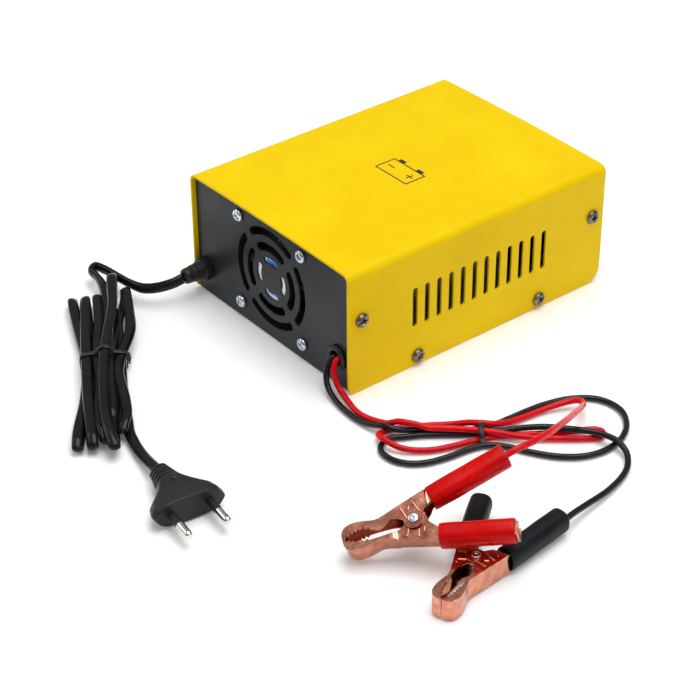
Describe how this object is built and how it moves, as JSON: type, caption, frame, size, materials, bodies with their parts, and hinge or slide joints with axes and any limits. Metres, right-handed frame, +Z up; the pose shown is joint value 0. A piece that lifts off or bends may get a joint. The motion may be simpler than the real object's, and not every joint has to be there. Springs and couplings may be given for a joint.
{
  "type": "car battery charger",
  "caption": "Car battery charger: folded sheet steel case with a cooling fan and side vents, a mains cord with a two-pin plug, and red and black leads with copper plated clamps.",
  "frame": {"origin": "centre of the case's footprint, on the underside of the case, which is the surface the charger and its cords lie on", "axes": "+Z up; +Y along the case from the fan panel to the control panel, so -Y leaves the fan panel; +X to the right when facing the fan panel, the side the red and black leads lie on"},
  "size_m": [0.3182, 0.2952, 0.0678],
  "materials": {
    "yellow_powder_coat": "satin powder coat",
    "black_panel": "satin black powder coat",
    "dark_nickel_screw": "dark nickel plate",
    "zinc_screw": "bright zinc plate",
    "black_plastic": "fine satin moulding",
    "grey_plastic": "matt moulding",
    "fan_label": "printed foil, white and blue",
    "board_green": "solder mask",
    "ferrite": null,
    "winding_tape": "polyester tape",
    "capacitor_sleeve": "shrink sleeve",
    "aluminium": "extruded",
    "smoked_lens": "clear dark red window",
    "led_red": "diffused lens",
    "led_green": "diffused lens",
    "black_rubber": "soft moulded",
    "black_cord": "smooth PVC sheath",
    "red_lead": "smooth PVC insulation",
    "red_sleeve": "soft PVC sleeve",
    "black_sleeve": "soft PVC sleeve",
    "copper_plate": null,
    "spring_steel": "bare spring wire",
    "nickel_pin": "nickel plate"
  },
  "bodies": {
    "charger": {"base_chassis": "black_panel", "black_clamp_rivet": "zinc_screw", "black_clamp_spring": "spring_steel", "black_lead": "black_cord", "black_lead_jaw": "copper_plate", "black_lead_sleeve": "black_sleeve", "circuit_board": "board_green", "cover_screw_1": "dark_nickel_screw", "cover_screw_2": "dark_nickel_screw", "cover_screw_3": "dark_nickel_screw", "cover_screw_4": "dark_nickel_screw", "cover_screw_5": "dark_nickel_screw", "cover_screw_6": "dark_nickel_screw", "cover_screw_7": "dark_nickel_screw", "cover_screw_8": "dark_nickel_screw", "display_module": "black_plastic", "display_window": "smoked_lens", "fan_frame": "black_plastic", "fan_label": "fan_label", "fan_screw_1": "zinc_screw", "fan_screw_2": "zinc_screw", "fan_screw_3": "zinc_screw", "fan_screw_4": "zinc_screw", "fan_stator": "grey_plastic", "filter_capacitor": "capacitor_sleeve", "hank_tie": "black_rubber", "heatsink": "aluminium", "lead_grommet": "black_rubber", "lead_tie": "black_rubber", "mains_cord_hank": "black_cord", "mains_cord_lead": "black_cord", "mains_cord_tail": "black_cord", "plug_body": "black_plastic", "plug_pin_1": "nickel_pin", "plug_pin_2": "nickel_pin", "power_transistor": "black_plastic", "red_clamp_rivet": "zinc_screw", "red_clamp_spring": "spring_steel", "red_lead": "red_lead", "red_lead_jaw": "copper_plate", "red_lead_sleeve": "red_sleeve", "relay": "black_plastic", "standoff_1": "aluminium", "standoff_2": "aluminium", "standoff_3": "aluminium", "standoff_4": "aluminium", "status_led_1": "led_red", "status_led_2": "led_green", "strain_relief": "black_rubber", "switch_housing": "black_plastic", "top_cover": "yellow_powder_coat", "transformer_core": "ferrite", "transformer_winding": "winding_tape"},
    "fan_rotor": {"fan_rotor": "grey_plastic"},
    "power_rocker": {"power_rocker": "black_plastic"},
    "mode_button": {"mode_button": "grey_plastic"},
    "red_free": {"red_free_jaw": "copper_plate", "red_free_sleeve": "red_sleeve"},
    "black_free": {"black_free_jaw": "copper_plate", "black_free_sleeve": "black_sleeve"}
  },
  "joints": [
    {"name": "fan_spin", "type": "hinge", "parent": "charger", "child": "fan_rotor", "pos_m": [0, -0.0744, 0.0345], "axis": [0, 1, 0], "continuous": true},
    {"name": "power_switch", "type": "hinge", "parent": "charger", "child": "power_rocker", "pos_m": [0.039, 0.0773, 0.036], "axis": [1, 0, 0], "range_deg": [0, 18]},
    {"name": "mode_press", "type": "slide", "parent": "charger", "child": "mode_button", "axis": [0, -1, 0], "range_m": [0, 0.0012], "stiffness_N_per_m": 400, "springref_m": -0.0008},
    {"name": "red_clamp_open", "type": "hinge", "parent": "charger", "child": "red_free", "pos_m": [0.172, -0.1339, 0.0171], "axis": [0.1823, -0.4299, 0.8843], "range_deg": [0, 26], "stiffness_Nm_per_rad": 0.4, "springref_deg": -34.38, "deforming": ["red_clamp_spring"]},
    {"name": "black_clamp_open", "type": "hinge", "parent": "charger", "child": "black_free", "pos_m": [0.1989, -0.1232, 0.00615], "axis": [-0.0041, 0.0104, -0.9999], "range_deg": [0, 26], "stiffness_Nm_per_rad": 0.4, "springref_deg": -34.38, "deforming": ["black_clamp_spring"]}
  ]
}
